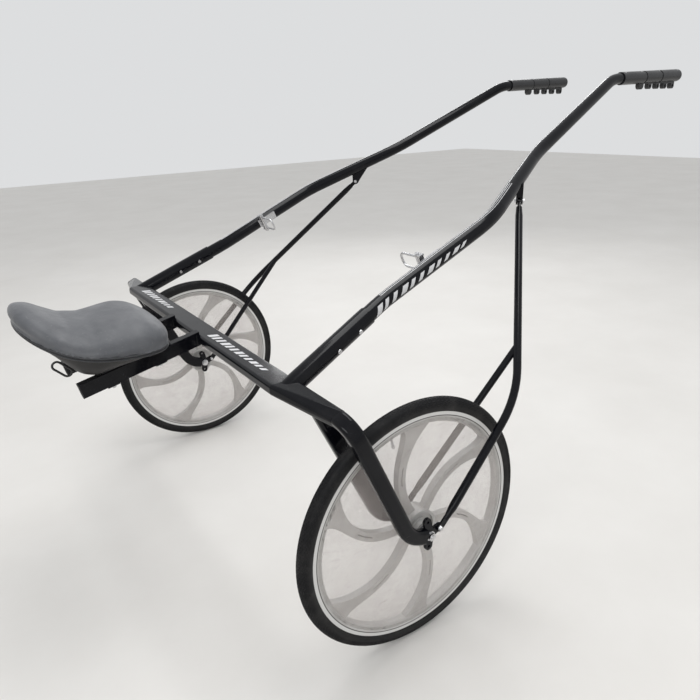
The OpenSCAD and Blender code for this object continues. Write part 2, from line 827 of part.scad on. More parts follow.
translate([-mid_x, 0, 0]) arch();
translate([-mid_x, 0, 0]) fork_outer();  // fork_outer_left
translate([-mid_x, 0, 0]) mirrored(-1) fork_outer();  // fork_outer_right
translate([-mid_x, 0, 0]) fork_inner();  // fork_inner_left
translate([-mid_x, 0, 0]) mirrored(-1) fork_inner();  // fork_inner_right
translate([-mid_x, 0, 0]) plates(1);  // hub_plate_outer_left
translate([-mid_x, 0, 0]) mirrored(-1) plates(1);  // hub_plate_outer_right
translate([-mid_x, 0, 0]) plates(-1);  // hub_plate_inner_left
translate([-mid_x, 0, 0]) mirrored(-1) plates(-1);  // hub_plate_inner_right
translate([-mid_x, 0, 0]) axle();  // axle_left
translate([-mid_x, 0, 0]) mirrored(-1) axle();  // axle_right
translate([-mid_x, 0, 0]) axle_nuts();
translate([-mid_x, 0, 0]) axle_spacers();
translate([-mid_x, 0, 0]) shaft_socket();  // shaft_socket_left
translate([-mid_x, 0, 0]) mirrored(-1) shaft_socket();  // shaft_socket_right
translate([-mid_x, 0, 0]) shaft();  // shaft_left
translate([-mid_x, 0, 0]) mirrored(-1) shaft();  // shaft_right
translate([-mid_x, 0, 0]) shaft_bolts();
translate([-mid_x, 0, 0]) brace_lug();  // brace_lug_left
translate([-mid_x, 0, 0]) mirrored(-1) brace_lug();  // brace_lug_right
translate([-mid_x, 0, 0]) brace();  // brace_left
translate([-mid_x, 0, 0]) mirrored(-1) brace();  // brace_right
translate([-mid_x, 0, 0]) brace_leg();  // brace_leg_left
translate([-mid_x, 0, 0]) mirrored(-1) brace_leg();  // brace_leg_right
translate([-mid_x, 0, 0]) brace_bolts();
translate([-mid_x, 0, 0]) grip();  // grip_left
translate([-mid_x, 0, 0]) mirrored(-1) grip();  // grip_right
translate([-mid_x, 0, 0]) grip_screws();
translate([-mid_x, 0, 0]) comb();  // comb_left
translate([-mid_x, 0, 0]) mirrored(-1) comb();  // comb_right
translate([-mid_x, 0, 0]) footrest_plate();  // footrest_plate_left
translate([-mid_x, 0, 0]) mirrored(-1) footrest_plate();  // footrest_plate_right
translate([-mid_x, 0, 0]) footrest_pins();
translate([-mid_x, 0, 0]) footrest_loop();  // footrest_loop_left
translate([-mid_x, 0, 0]) mirrored(-1) footrest_loop();  // footrest_loop_right
translate([-mid_x, 0, 0]) rail_half();  // rail_left
translate([-mid_x, 0, 0]) mirrored(-1) rail_half();  // rail_right
translate([-mid_x, 0, 0]) rail_caps();
translate([-mid_x, 0, 0]) seat_cushion();
translate([-mid_x, 0, 0]) seat_piping();
translate([-mid_x, 0, 0]) seat_pan();
translate([-mid_x, 0, 0]) seat_clamps();
translate([-mid_x, 0, 0]) seat_bolts();
translate([-mid_x, 0, 0]) seat_loop();
translate([-mid_x, 0, 0]) at_wheel(1) wheel(left_phase);  // wheel_left
translate([-mid_x, 0, 0]) at_wheel(-1) wheel(right_phase);  // wheel_right
translate([-mid_x, 0, 0]) at_wheel(1) tyre();  // tyre_left
translate([-mid_x, 0, 0]) at_wheel(-1) tyre();  // tyre_right
translate([-mid_x, 0, 0]) at_wheel(1) bearings();  // bearings_left
translate([-mid_x, 0, 0]) at_wheel(-1) bearings();  // bearings_right
translate([-mid_x, 0, 0]) at_wheel(1) disc(-1);  // disc_outer_left
translate([-mid_x, 0, 0]) at_wheel(-1) disc(1);  // disc_outer_right
translate([-mid_x, 0, 0]) at_wheel(1) disc(1);  // disc_inner_left
translate([-mid_x, 0, 0]) at_wheel(-1) disc(-1);  // disc_inner_right
translate([-mid_x, 0, 0]) at_wheel(1) valve(left_phase);  // valve_left
translate([-mid_x, 0, 0]) at_wheel(-1) valve(right_phase);  // valve_right
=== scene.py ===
"""Racing sulky: finishes, soft seat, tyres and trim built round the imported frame."""

import math

import bmesh
import bpy
import numpy as np
from mathutils import Matrix, Vector, noise


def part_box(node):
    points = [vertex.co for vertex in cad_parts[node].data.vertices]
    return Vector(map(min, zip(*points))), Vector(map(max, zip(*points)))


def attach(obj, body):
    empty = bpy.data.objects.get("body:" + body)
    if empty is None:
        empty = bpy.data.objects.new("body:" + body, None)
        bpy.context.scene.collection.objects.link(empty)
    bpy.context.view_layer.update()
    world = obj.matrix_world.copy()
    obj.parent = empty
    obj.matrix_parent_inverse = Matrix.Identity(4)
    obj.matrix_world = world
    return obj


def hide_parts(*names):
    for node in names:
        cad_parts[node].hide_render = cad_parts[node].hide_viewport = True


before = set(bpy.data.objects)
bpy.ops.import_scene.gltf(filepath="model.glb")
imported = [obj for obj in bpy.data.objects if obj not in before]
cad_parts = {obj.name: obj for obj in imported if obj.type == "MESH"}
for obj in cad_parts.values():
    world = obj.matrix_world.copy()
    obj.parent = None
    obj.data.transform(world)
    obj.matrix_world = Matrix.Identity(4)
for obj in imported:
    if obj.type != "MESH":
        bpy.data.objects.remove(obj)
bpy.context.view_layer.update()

AXLE_LO, AXLE_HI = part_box("axle_left")
TYRE_LO, TYRE_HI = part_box("tyre_left")

# The axle line, which stands behind the middle of the whole length, and the wheels on it.
AXLE_X = (AXLE_LO.x + AXLE_HI.x) / 2
AXLE_Z = (AXLE_LO.z + AXLE_HI.z) / 2
WHEEL_Y = (TYRE_LO.y + TYRE_HI.y) / 2
WHEEL_R = (TYRE_HI.z - TYRE_LO.z) / 2

SIDES = ((1, "left"), (-1, "right"))


def place(x, y, z):
    """A point given from the axle line, put in the frame."""
    return Vector((x + AXLE_X, y, z))


# ------------------------------------------------------------------ nodes

FLOAT, VECTOR = "NodeSocketFloat", "NodeSocketVector"


def add(tree, kind, links=(), **settings):
    """A node with its settings and its inputs filled, by name or number."""
    node = tree.nodes.new(kind)
    for key, value in settings.items():
        setattr(node, key, value)
    for key, value in dict(links).items():
        fill(tree, node.inputs[key], value)
    return node


def fill(tree, socket, value):
    if isinstance(value, bpy.types.NodeSocket):
        tree.links.new(value, socket)
    else:
        socket.default_value = value


def grain(tree, where, scale, detail, **more):
    """Noise of a scale and a depth of detail."""
    links = {"Vector": where, "Scale": scale, "Detail": detail, **more}
    return add(tree, "ShaderNodeTexNoise", links).outputs["Fac"]


def ramp(tree, value, low, high, ends=()):
    """Takes low..high to 0..1, or to the ends given."""
    links = {"Value": value, "From Min": low, "From Max": high, **dict(zip(("To Min", "To Max"), ends))}
    return add(tree, "ShaderNodeMapRange", links).outputs["Result"]


def maths(tree, operation, *values, **settings):
    links = dict(enumerate(values))
    return add(tree, "ShaderNodeMath", links, operation=operation, **settings).outputs[0]


def tint(tree, mask, low, high):
    """Colour that goes from low to high with the mask. Low may be another node's output."""
    if not isinstance(low, bpy.types.NodeSocket):
        low = (*low, 1)
    node = add(tree, "ShaderNodeMix", {"Factor": mask, 6: low, 7: (*high, 1)}, data_type="RGBA")
    return node.outputs[2]


def bump(tree, height, strength, distance, after=None):
    links = {"Height": height, "Strength": strength, "Distance": distance}
    if after is not None:
        links["Normal"] = after
    return add(tree, "ShaderNodeBump", links).outputs["Normal"]


# ------------------------------------------------------------------ effects


def new_group(name, gives, takes):
    """A node group with one value out and the inputs named in takes."""
    tree = bpy.data.node_groups.new(name, "ShaderNodeTree")
    tree.interface.new_socket("Vector", in_out="INPUT", socket_type=VECTOR)
    for label, value in takes.items():
        kind = VECTOR if isinstance(value, tuple) else FLOAT
        tree.interface.new_socket(label, in_out="INPUT", socket_type=kind).default_value = value
    tree.interface.new_socket(gives, in_out="OUTPUT", socket_type=FLOAT)
    given = tree.nodes.new("NodeGroupInput").outputs
    return tree, given, tree.nodes.new("NodeGroupOutput").inputs[gives]


def smudge_group():
    """Broad, soft change of gloss, as left by handling and wiping."""
    tree, given, out = new_group("smudge", "Roughness", {"Scale": 9.0, "Low": 0.15, "High": 0.3})
    cloud = grain(tree, given["Vector"], given["Scale"], 5.0, Roughness=0.62)
    tree.links.new(ramp(tree, cloud, 0.32, 0.7, (given["Low"], given["High"])), out)
    return tree


def dust_group():
    """Specks and a thin film of dust."""
    tree, given, out = new_group("dust", "Mask", {"Specks": 260.0, "Film": 14.0, "Amount": 0.3})
    film = ramp(tree, grain(tree, given["Vector"], given["Film"], 6.0, Roughness=0.7), 0.48, 0.78)
    speck = ramp(tree, grain(tree, given["Vector"], given["Specks"], 2.0), 0.62, 0.74)
    top = maths(tree, "MAXIMUM", film, speck)
    tree.links.new(maths(tree, "MULTIPLY", top, given["Amount"]), out)
    return tree


def scuff_group():
    """Long fine scratches, mostly along one axis."""
    tree, given, out = new_group("scuffs", "Mask", {"Stretch": (8.0, 260.0, 260.0), "Amount": 0.4})
    links = {0: given["Vector"], 1: given["Stretch"]}
    long_way = add(tree, "ShaderNodeVectorMath", links, operation="MULTIPLY").outputs[0]
    cut = ramp(tree, grain(tree, long_way, 1.0, 3.0, Distortion=0.4), 0.64, 0.72)
    patch = ramp(tree, grain(tree, given["Vector"], 6.0, 2.0), 0.45, 0.65)
    both = maths(tree, "MULTIPLY", cut, patch)
    tree.links.new(maths(tree, "MULTIPLY", both, given["Amount"]), out)
    return tree


def pebble_group():
    """Raised cells with soft valleys, as on coated cloth or moulded plastic."""
    tree, given, out = new_group("pebble", "Height", {"Scale": 420.0, "Softness": 0.5})
    links = {"Vector": given["Vector"], "Scale": given["Scale"], "Randomness": 0.9}
    cell = add(tree, "ShaderNodeTexVoronoi", links, feature="F1").outputs["Distance"]
    fine = grain(tree, given["Vector"], given["Scale"], 3.0)
    links = {"Factor": given["Softness"], 2: cell, 3: fine}
    tree.links.new(add(tree, "ShaderNodeMix", links, data_type="FLOAT").outputs[0], out)
    return tree


SMUDGE = smudge_group()
DUST = dust_group()
SCUFF = scuff_group()
PEBBLE = pebble_group()


def effect(tree, group, where, **inputs):
    """The value that a group gives at a place."""
    node = tree.nodes.new("ShaderNodeGroup")
    node.node_tree = group
    tree.links.new(where, node.inputs["Vector"])
    for key, value in inputs.items():
        fill(tree, node.inputs[key], value)
    return node.outputs[0]


# ------------------------------------------------------------------ finishes


def new_finish(name, **shader):
    """A material, its tree, its shader and the object coordinates."""
    mat = bpy.data.materials.new(name)
    mat.use_nodes = True
    tree = mat.node_tree
    bsdf = tree.nodes["Principled BSDF"]
    for key, value in shader.items():
        bsdf.inputs[key.replace("_", " ")].default_value = value
    where = tree.nodes.new("ShaderNodeTexCoord").outputs["Object"]
    return mat, tree, bsdf, where


def join(tree, bsdf, colour, roughness, normal=None):
    """Puts a colour, a roughness and a normal on the shader."""
    tree.links.new(colour, bsdf.inputs["Base Color"])
    tree.links.new(roughness, bsdf.inputs["Roughness"])
    if normal is not None:
        tree.links.new(normal, bsdf.inputs["Normal"])


def enamel():
    """Gloss black paint with orange peel, a few fine scratches and a little dust."""
    mat, tree, bsdf, where = new_finish(
        "gloss black enamel", Coat_Weight=0.13, Coat_Roughness=0.05, Specular_IOR_Level=0.13
    )
    dust = effect(tree, DUST, where, Specks=420.0, Film=9.0, Amount=0.035)
    wear = effect(tree, SCUFF, where, Stretch=(14.0, 240.0, 240.0), Amount=0.06)
    soil = maths(tree, "MAXIMUM", dust, wear)
    shade = tint(tree, soil, (0.0022, 0.0024, 0.004), (0.20, 0.195, 0.19))
    gloss = effect(tree, SMUDGE, where, Scale=11.0, Low=0.10, High=0.22)
    peel = grain(tree, where, 190.0, 2.0)
    join(tree, bsdf, shade, gloss, bump(tree, peel, 0.05, 0.0008))
    return mat


def plated_steel(name="plated steel", colour=(0.62, 0.62, 0.63)):
    """Bright metal, finely brushed and a little dull in patches."""
    mat, tree, bsdf, where = new_finish(name, Metallic=1.0)
    line = effect(tree, SCUFF, where, Stretch=(60.0, 700.0, 60.0), Amount=0.55)
    soil = effect(tree, DUST, where, Specks=600.0, Film=40.0, Amount=0.35)
    shade = tint(tree, maths(tree, "MAXIMUM", line, soil), colour, (0.30, 0.285, 0.27))
    gloss = effect(tree, SMUDGE, where, Scale=60.0, Low=0.17, High=0.38)
    join(tree, bsdf, shade, gloss, bump(tree, line, 0.12, 0.0005))
    return mat


def moulded(name, colour, pale, low, high, cells, lift, coat, soil_amount):
    """Plastic or rubber with a pebbled skin. Dust takes its colour towards pale."""
    mat, tree, bsdf, where = new_finish(name, Coat_Weight=coat, Coat_Roughness=0.12)
    soil = effect(tree, DUST, where, Specks=330.0, Film=22.0, Amount=soil_amount)
    gloss = effect(tree, SMUDGE, where, Scale=18.0, Low=low, High=high)
    skin = effect(tree, PEBBLE, where, Scale=cells, Softness=0.6)
    join(tree, bsdf, tint(tree, soil, colour, pale), gloss, bump(tree, skin, lift, 0.0006))
    return mat


def ring_mask(tree, where, radius, width):
    """Thin ring about the axle line at a radius."""

    def vectors(operation, *values):
        links = dict(enumerate(values))
        return add(tree, "ShaderNodeVectorMath", links, operation=operation).outputs

    centred = vectors("SUBTRACT", where, (AXLE_X, 0.0, AXLE_Z))[0]
    flat = vectors("MULTIPLY", centred, (1.0, 0.0, 1.0))[0]
    far = vectors("LENGTH", flat)["Value"]
    off = maths(tree, "ABSOLUTE", maths(tree, "SUBTRACT", far, radius))
    return ramp(tree, off, width, width * 0.55)


def wheel_composite():
    """Silver grey moulding: flow marks and fine speckle, with a painted highlight round the rim and two
    dark lines of painted shade beside it, standing in for the shade in grooves.
    """
    mat, tree, bsdf, where = new_finish(
        "silver grey composite", Metallic=0.1, Specular_IOR_Level=0.4
    )
    flow = grain(tree, where, 12.0, 6.0, Roughness=0.6, Distortion=0.6)
    base = tint(tree, ramp(tree, flow, 0.35, 0.68), (0.45, 0.44, 0.425), (0.55, 0.54, 0.525))
    soil = effect(tree, DUST, where, Specks=380.0, Film=30.0, Amount=0.22)
    dirty = tint(tree, soil, base, (0.27, 0.255, 0.235))
    # Painted highlight: a lighter ring of colour all round the rim.
    dust_and_painted_rim_highlight = tint(tree, ring_mask(tree, where, 0.3095, 0.008), dirty, (0.66, 0.655, 0.64))
    # Painted shade: two thin dark rings beside the rim, in place of the shade that grooves would hold.
    painted_groove_shade_masks = [ring_mask(tree, where, radius, 0.0016) for radius in (0.3035, 0.3158)]
    dust_and_painted_rim_light = tint(tree, maths(tree, "MAXIMUM", *painted_groove_shade_masks), dust_and_painted_rim_highlight, (0.09, 0.085, 0.08))
    gloss = effect(tree, SMUDGE, where, Scale=22.0, Low=0.34, High=0.52)
    skin = effect(tree, PEBBLE, where, Scale=1100.0, Softness=0.7)
    join(tree, bsdf, dust_and_painted_rim_light, gloss, bump(tree, skin, 0.1, 0.0005))
    return mat


def tyre_rubber():
    """Dark rubber with a fine skin, dusty down its sides."""
    mat, tree, bsdf, where = new_finish("tyre rubber", Specular_IOR_Level=0.18)
    lay = tree.nodes.new("ShaderNodeTexCoord").outputs["UV"]
    across = add(tree, "ShaderNodeSeparateXYZ", {"Vector": lay}).outputs["Y"]
    low = ramp(tree, maths(tree, "ABSOLUTE", across), 0.16, 0.30)
    soil = effect(tree, DUST, where, Specks=300.0, Film=16.0, Amount=0.35)
    film = maths(tree, "MULTIPLY_ADD", low, 0.12, soil, use_clamp=True)
    shade = tint(tree, film, (0.008, 0.008, 0.009), (0.065, 0.062, 0.058))
    gloss = effect(tree, SMUDGE, where, Scale=25.0, Low=0.48, High=0.68)
    skin = effect(tree, PEBBLE, where, Scale=1500.0, Softness=0.8)
    join(tree, bsdf, shade, gloss, bump(tree, skin, 0.15, 0.0004))
    return mat


def clear_cover():
    """Clear sheet with a faint warm haze and fine marks, so it shows where it stands."""
    mat, tree, bsdf, where = new_finish(
        "clear cover", Specular_IOR_Level=0.5, Coat_Weight=0.3, Coat_Roughness=0.04, IOR=1.45
    )
    haze = effect(tree, SMUDGE, where, Scale=5.0, Low=0.10, High=0.17)
    mark = effect(tree, DUST, where, Specks=90.0, Film=11.0, Amount=0.06)
    line = effect(tree, SCUFF, where, Stretch=(30.0, 300.0, 180.0), Amount=0.10)
    total = maths(tree, "ADD", maths(tree, "MAXIMUM", mark, line), haze, use_clamp=True)
    tree.links.new(total, bsdf.inputs["Alpha"])
    shade = tint(tree, haze, (0.60, 0.545, 0.52), (0.66, 0.61, 0.585))
    join(tree, bsdf, shade, effect(tree, SMUDGE, where, Scale=14.0, Low=0.08, High=0.2))
    return mat


def seat_cover():
    """Dark grey coated cloth, a little faded on top, with fine pebble and soft rubbed patches."""
    mat, tree, bsdf, where = new_finish(
        "grey coated cover", Sheen_Weight=0.12, Sheen_Roughness=0.4, Specular_IOR_Level=0.45
    )
    cloud = ramp(tree, grain(tree, where, 7.0, 5.0, Roughness=0.6), 0.36, 0.66)
    base = tint(tree, cloud, (0.075, 0.079, 0.088), (0.115, 0.119, 0.128))
    rub = effect(tree, DUST, where, Specks=150.0, Film=10.0, Amount=0.38)
    worn = tint(tree, rub, base, (0.19, 0.192, 0.197))
    gloss = effect(tree, SMUDGE, where, Scale=12.0, Low=0.42, High=0.6)
    skin = effect(tree, PEBBLE, where, Scale=520.0, Softness=0.45)
    crease = grain(tree, where, 34.0, 4.0, Roughness=0.55, Distortion=0.8)
    folds = bump(tree, crease, 0.16, 0.004)
    join(tree, bsdf, worn, gloss, bump(tree, skin, 0.28, 0.0006, folds))
    return mat


# Each moulded finish: colour, dusty colour, least and most roughness, cells, lift, coat, dust.
MOULDED = {
    "grip": (
        "black grip cover", (0.006, 0.006, 0.0075), (0.08, 0.08, 0.08),
        0.26, 0.42, 700.0, 0.1, 0.1, 0.08,
    ),
    "plastic": (
        "black plastic", (0.012, 0.012, 0.013), (0.12, 0.115, 0.11),
        0.38, 0.55, 800.0, 0.16, 0.0, 0.2,
    ),
    "shell": (
        "dark moulded shell", (0.013, 0.012, 0.012), (0.05, 0.047, 0.045),
        0.46, 0.6, 500.0, 0.06, 0.0, 0.08,
    ),
    "welt": (
        "edge welt", (0.022, 0.023, 0.026), (0.12, 0.12, 0.12),
        0.35, 0.5, 900.0, 0.12, 0.0, 0.15,
    ),
    "silver line": (
        "silver line", (0.62, 0.62, 0.63), (0.35, 0.34, 0.33),
        0.3, 0.42, 900.0, 0.05, 0.3, 0.2,
    ),
}

FINISH = {
    "enamel": enamel(),
    "steel": plated_steel(),
    "dark steel": plated_steel("oiled steel", (0.22, 0.22, 0.23)),
    "composite": wheel_composite(),
    "tyre": tyre_rubber(),
    "clear": clear_cover(),
    "cover": seat_cover(),
    **{key: moulded(*values) for key, values in MOULDED.items()},
}

# The finish of each carried-over node, by the start of its name; the longest match is used.
CAD_FINISH = {
    "enamel": (
        "arch", "fork", "hub_plate", "shaft_socket", "shaft_left", "shaft_right", "brace",
        "rail_left", "rail_right", "seat_clamps",
    ),
    "steel": (
        "axle", "shaft_bolts", "brace_bolts", "grip_screws", "seat_bolts", "footrest", "valve",
    ),
    "dark steel": ("bearings",),
    "grip": ("grip_left", "grip_right"),
    "plastic": ("comb", "rail_caps", "seat_loop"),
    "composite": ("wheel",),
    "clear": ("disc",),
    "tyre": ("tyre",),
    "shell": ("seat_pan",),
    "cover": ("seat_cushion",),
    "welt": ("seat_piping",),
}
STARTS = {start: finish for finish, starts in CAD_FINISH.items() for start in starts}

for name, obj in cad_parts.items():
    start = max((s for s in STARTS if name.startswith(s)), key=len)
    obj.data.materials.clear()
    obj.data.materials.append(FINISH[STARTS[start]])


# ------------------------------------------------------------------ making pieces


def make_piece(name, bm, body, finish, replaces=(), crease=35.0):
    """Turns a bmesh, already in the frame, into a finished piece that rides on a body."""
    for face in bm.faces:
        face.smooth = True
    limit = math.radians(crease)
    for edge in bm.edges:
        edge.smooth = len(edge.link_faces) != 2 or edge.calc_face_angle(0.0) < limit
    mesh = bpy.data.meshes.new(name)
    bm.to_mesh(mesh)
    bm.free()
    obj = bpy.data.objects.new(name, mesh)
    bpy.context.scene.collection.objects.link(obj)
    mesh.materials.append(FINISH[finish])
    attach(obj, body)
    if replaces:
        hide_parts(*replaces)
    return obj


def spun(profile, centre, steps):
    """An open line of (radius, sideways) points turned about the wheel's axis through centre."""
    bm = bmesh.new()
    verts = [bm.verts.new((centre[0] + r, centre[1] + y, centre[2])) for r, y in profile]
    edges = [bm.edges.new(p) for p in zip(verts, verts[1:])]
    bmesh.ops.spin(
        bm,
        geom=verts + edges,
        cent=centre,
        axis=(0, 1, 0),
        angle=2 * math.pi,
        steps=steps,
        use_merge=True,
    )
    bmesh.ops.recalc_face_normals(bm, faces=bm.faces)
    return bm


def swept(points, radius, sides=12, closed=False):
    """A round tube along points, built from one ring that is carried along and bridged."""
    bm = bmesh.new()
    pts = [Vector(p) for p in points]
    count = len(pts)
    rings = []
    up = None
    for i, p in enumerate(pts):
        before = pts[(i - 1) % count] if closed or i else p
        after = pts[(i + 1) % count] if closed or i < count - 1 else p
        along = (after - before).normalized()
        up = along.orthogonal() if up is None else up
        up = (up - along * up.dot(along)).normalized()
        made = bmesh.ops.create_circle(bm, segments=sides, radius=radius)["verts"]
        turn = Matrix((up, along.cross(up), along)).transposed().to_4x4()
        bmesh.ops.transform(bm, matrix=Matrix.Translation(p) @ turn, verts=made)
        near = {e for v in made for e in v.link_edges}
        rings.append([e for e in near if all(w in made for w in e.verts)])
    for i in range(count if closed else count - 1):
        bmesh.ops.bridge_loops(bm, edges=rings[i] + rings[(i + 1) % count])
    if not closed:
        for ring in (rings[0], rings[-1]):
            bmesh.ops.edgeloop_fill(bm, edges=ring)
    bmesh.ops.recalc_face_normals(bm, faces=bm.faces)
    return bm


def between(table, x):
    """The value at x in a table of (x, value) pairs."""
    xs, ys = zip(*table)
    return float(np.interp(x, xs, ys))


# ------------------------------------------------------------------ tyres


TYRE_STEPS = 300
TYRE_ROWS = 56
TYRE_WRAP = 296
TYRE_WALL = 0.0035
# Faces further than this from the middle of the tyre's section are on its outer skin.
OUTER_SKIN = 0.0195
RIB_RISE = 0.0009
RIB_ROWS = 16
LANE_EVERY = 6


def raise_ribs(bm, centre, mid):
    """Lifts slanted ribs out of the tyre's outer face, leaving plain lanes round it."""
    ribs = []
    for face in bm.faces:
        spot = face.calc_center_median() - centre
        out = math.atan2(spot.y, math.hypot(spot.x, spot.z) - mid)
        row = int(abs(out) / (math.radians(TYRE_WRAP) / TYRE_ROWS))
        turn = int(TYRE_STEPS * (math.atan2(spot.z, spot.x) / (2 * math.pi) + 1.0) + 0.5)
        outer = math.hypot(math.hypot(spot.x, spot.z) - mid, spot.y) > OUTER_SKIN
        lane = row % LANE_EVERY == LANE_EVERY - 1
        if outer and row < RIB_ROWS and not lane and (turn + row // 2) % 2 == 0:
            ribs.append(face)
    made = bmesh.ops.extrude_face_region(bm, geom=ribs)["geom"]
    stale = [face for face in ribs if face.is_valid]
    bmesh.ops.delete(bm, geom=stale, context="FACES_ONLY")
    for v in (g for g in made if isinstance(g, bmesh.types.BMVert)):
        spot = v.co - centre
        round_way = math.hypot(spot.x, spot.z)
        middle = Vector((spot.x, 0, spot.z)) * (mid / round_way)
        v.co += (spot - middle).normalized() * RIB_RISE


def tyre_piece(side, word):
    centre = place(0, WHEEL_Y * side, 0)
    centre.z = AXLE_Z
    section = (TYRE_HI.y - TYRE_LO.y) / 2 - RIB_RISE
    mid = WHEEL_R - section - RIB_RISE
    loop = []
    for i in range(TYRE_ROWS + 1):
        a = math.radians(-TYRE_WRAP / 2 + TYRE_WRAP * i / TYRE_ROWS)
        loop.append((mid + section * math.cos(a), section * math.sin(a)))
    bm = spun(loop, centre, TYRE_STEPS)
    bmesh.ops.solidify(bm, geom=bm.faces[:], thickness=TYRE_WALL)
    bmesh.ops.recalc_face_normals(bm, faces=bm.faces)
    raise_ribs(bm, centre, mid)
    bmesh.ops.recalc_face_normals(bm, faces=bm.faces)
    lay = bm.loops.layers.uv.new("tread")
    for face in bm.faces:
        c = face.calc_center_median() - centre
        home = math.atan2(c.z, c.x)
        for corner in face.loops:
            v = corner.vert.co - centre
            turn = math.atan2(v.z, v.x)
            turn += 2 * math.pi * round((home - turn) / (2 * math.pi))
            out = math.atan2(v.y, math.hypot(v.x, v.z) - mid)
            corner[lay].uv = (turn / (2 * math.pi), out / (2 * math.pi))
    make_piece(
        f"tyre_tread_{word}", bm, f"wheel_{word}", "tyre", [f"tyre_{word}"], crease=28.0
    )


for side, word in SIDES:
    tyre_piece(side, word)


# ------------------------------------------------------------------ seat

SEAT_LO, SEAT_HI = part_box("seat_cushion")
SEAT_BACK, SEAT_LONG = SEAT_LO.x - AXLE_X, SEAT_HI.x - SEAT_LO.x
SEAT_HALF = SEAT_HI.y
SEAT_MID = SEAT_BACK + SEAT_LONG / 2
# How far the cushion's edge tucks under, and over what height above the seam.
SEAT_TUCK = 0.009
TUCK_HIGH = 0.026
FRONT_TRIM = 0.013
# The rails rise this much, from a top edge at the back of the arch.
RAIL_SLOPE = math.tan(math.radians(12.2))
RAIL_START = (-0.293, 0.766)
RAIL_CLEAR = 0.003
# Height of the crown above the ground along the seat.
CROWN = [
    (-0.743, 0.957),
    (-0.725, 0.947),
    (-0.70, 0.922),
    (-0.66, 0.8815),
    (-0.62, 0.8526),
    (-0.57, 0.842),
    (-0.52, 0.848),
    (-0.47, 0.8536),
    (-0.43, 0.853),
    (-0.39, 0.844),
    (-0.36, 0.828),
    (-0.343, 0.815),
]


def along_seat(x):
    """0 at the seat's back edge, 1 at its front."""
    return min(1.0, max(0.0, (x - SEAT_BACK) / SEAT_LONG))


def seam(x):
    """Height where cushion and shell meet."""
    t = along_seat(x)
    return 0.757 + 0.108 * (1 - t) ** 3.6


def eased(u):
    """Smooth step from 0 to 1."""
    v = min(1.0, max(0.0, u))
    return v * v * (3 - 2 * v)


def shell_low(x):
    """Lowest level of the shell, kept clear of the rails."""
    rail = RAIL_START[1] + (x - RAIL_START[0]) * RAIL_SLOPE
    deep = 0.022 + 0.043 * eased((along_seat(x) - 0.13) / 0.22)
    return min(max(rail + RAIL_CLEAR, seam(x) - deep - 0.002), seam(x) - 0.005)


def seat_outline(angle, inset):
    """Point of the seat's edge at an angle, drawn in by inset."""
    c, s = math.cos(angle), math.sin(angle)
    power = 0.42 if c > 0 else 0.72
    reach = SEAT_LONG / 2 - inset - (FRONT_TRIM if c > 0 else 0.0)
    return (
        SEAT_MID + reach * math.copysign(abs(c) ** power, c),
        (SEAT_HALF - inset) * math.copysign(abs(s) ** 0.78, s),
    )


def seat_form(inset, height, spread, tucks=False):
    """Closed form over the seat's outline. spread gives each ring's reach, height its level."""
    bm = bmesh.new()
    for top in (True, False):
        sheet = bmesh.ops.create_grid(bm, x_segments=46, y_segments=46, size=1.0)["verts"]
        for v in sheet:
            share = max(abs(v.co.x), abs(v.co.y))
            angle = math.atan2(v.co.y, v.co.x) if share > 1e-6 else 0.0
            reach = spread(share, top)
            ex, ey = seat_outline(angle, inset)
            x = SEAT_MID + (ex - SEAT_MID) * reach
            z = height(x, share, top)
            if top and tucks:
                tuck = SEAT_TUCK * max(0.0, 1 - (z - seam(x)) / TUCK_HIGH) ** 1.6
                ex, ey = seat_outline(angle, inset + tuck)
                x = SEAT_MID + (ex - SEAT_MID) * reach
            v.co = place(x, ey * reach, z)
    bmesh.ops.remove_doubles(bm, verts=bm.verts, dist=0.0003)
    bmesh.ops.recalc_face_normals(bm, faces=bm.faces)
    return bm


def cushion_spread(share, top):
    return math.sin(share * math.pi / 2) ** 0.85 if top else share


def cushion_height(x, share, top):
    if not top:
        return seam(x) + 0.0005
    rise = between(CROWN, x) - seam(x)
    return seam(x) + rise * max(0.0, math.cos(share * math.pi / 2)) ** 0.62


def shell_spread(share, top):
    return share


def inflate(obj, frames=20, cap=0.006):
    """Swells a closed cushion under pressure, held along its underside, by no more than cap."""
    rest = np.array([v.co for v in obj.data.vertices], float)
    held = obj.vertex_groups.new(name="held")
    for v in obj.data.vertices:
        gap = v.co.z - seam(v.co.x - AXLE_X)
        held.add([v.index], 1.0 if gap < 0.012 else 0.0, "REPLACE")
    cloth = obj.modifiers.new("swell", "CLOTH")
    cloth.settings.vertex_group_mass = "held"
    cloth.settings.quality = 6
    cloth.settings.mass = 0.3
    cloth.settings.tension_stiffness = cloth.settings.compression_stiffness = 18
    cloth.settings.bending_stiffness = 2.5
    cloth.settings.use_pressure = True
    cloth.settings.uniform_pressure_force = 4.0
    cloth.settings.effector_weights.gravity = 0
    cloth.collision_settings.use_collision = False
    cloth.point_cache.frame_start, cloth.point_cache.frame_end = 1, frames
    for f in range(1, frames + 1):
        bpy.context.scene.frame_set(f)
    shaped = obj.evaluated_get(bpy.context.evaluated_depsgraph_get())
    moved = np.array([v.co for v in shaped.to_mesh().vertices], float)
    shaped.to_mesh_clear()
    obj.modifiers.remove(cloth)
    step = moved - rest
    far = np.linalg.norm(step, axis=1, keepdims=True)
    step *= np.minimum(1.0, cap / np.maximum(far, 1e-9))
    obj.data.vertices.foreach_set("co", (rest + step).astype(np.float32).ravel())
    obj.data.update()
    bpy.context.scene.frame_set(1)


def apply_modifiers(obj):
    shaped = obj.evaluated_get(bpy.context.evaluated_depsgraph_get())
    made = bpy.data.meshes.new_from_object(shaped)
    obj.modifiers.clear()
    obj.data = made


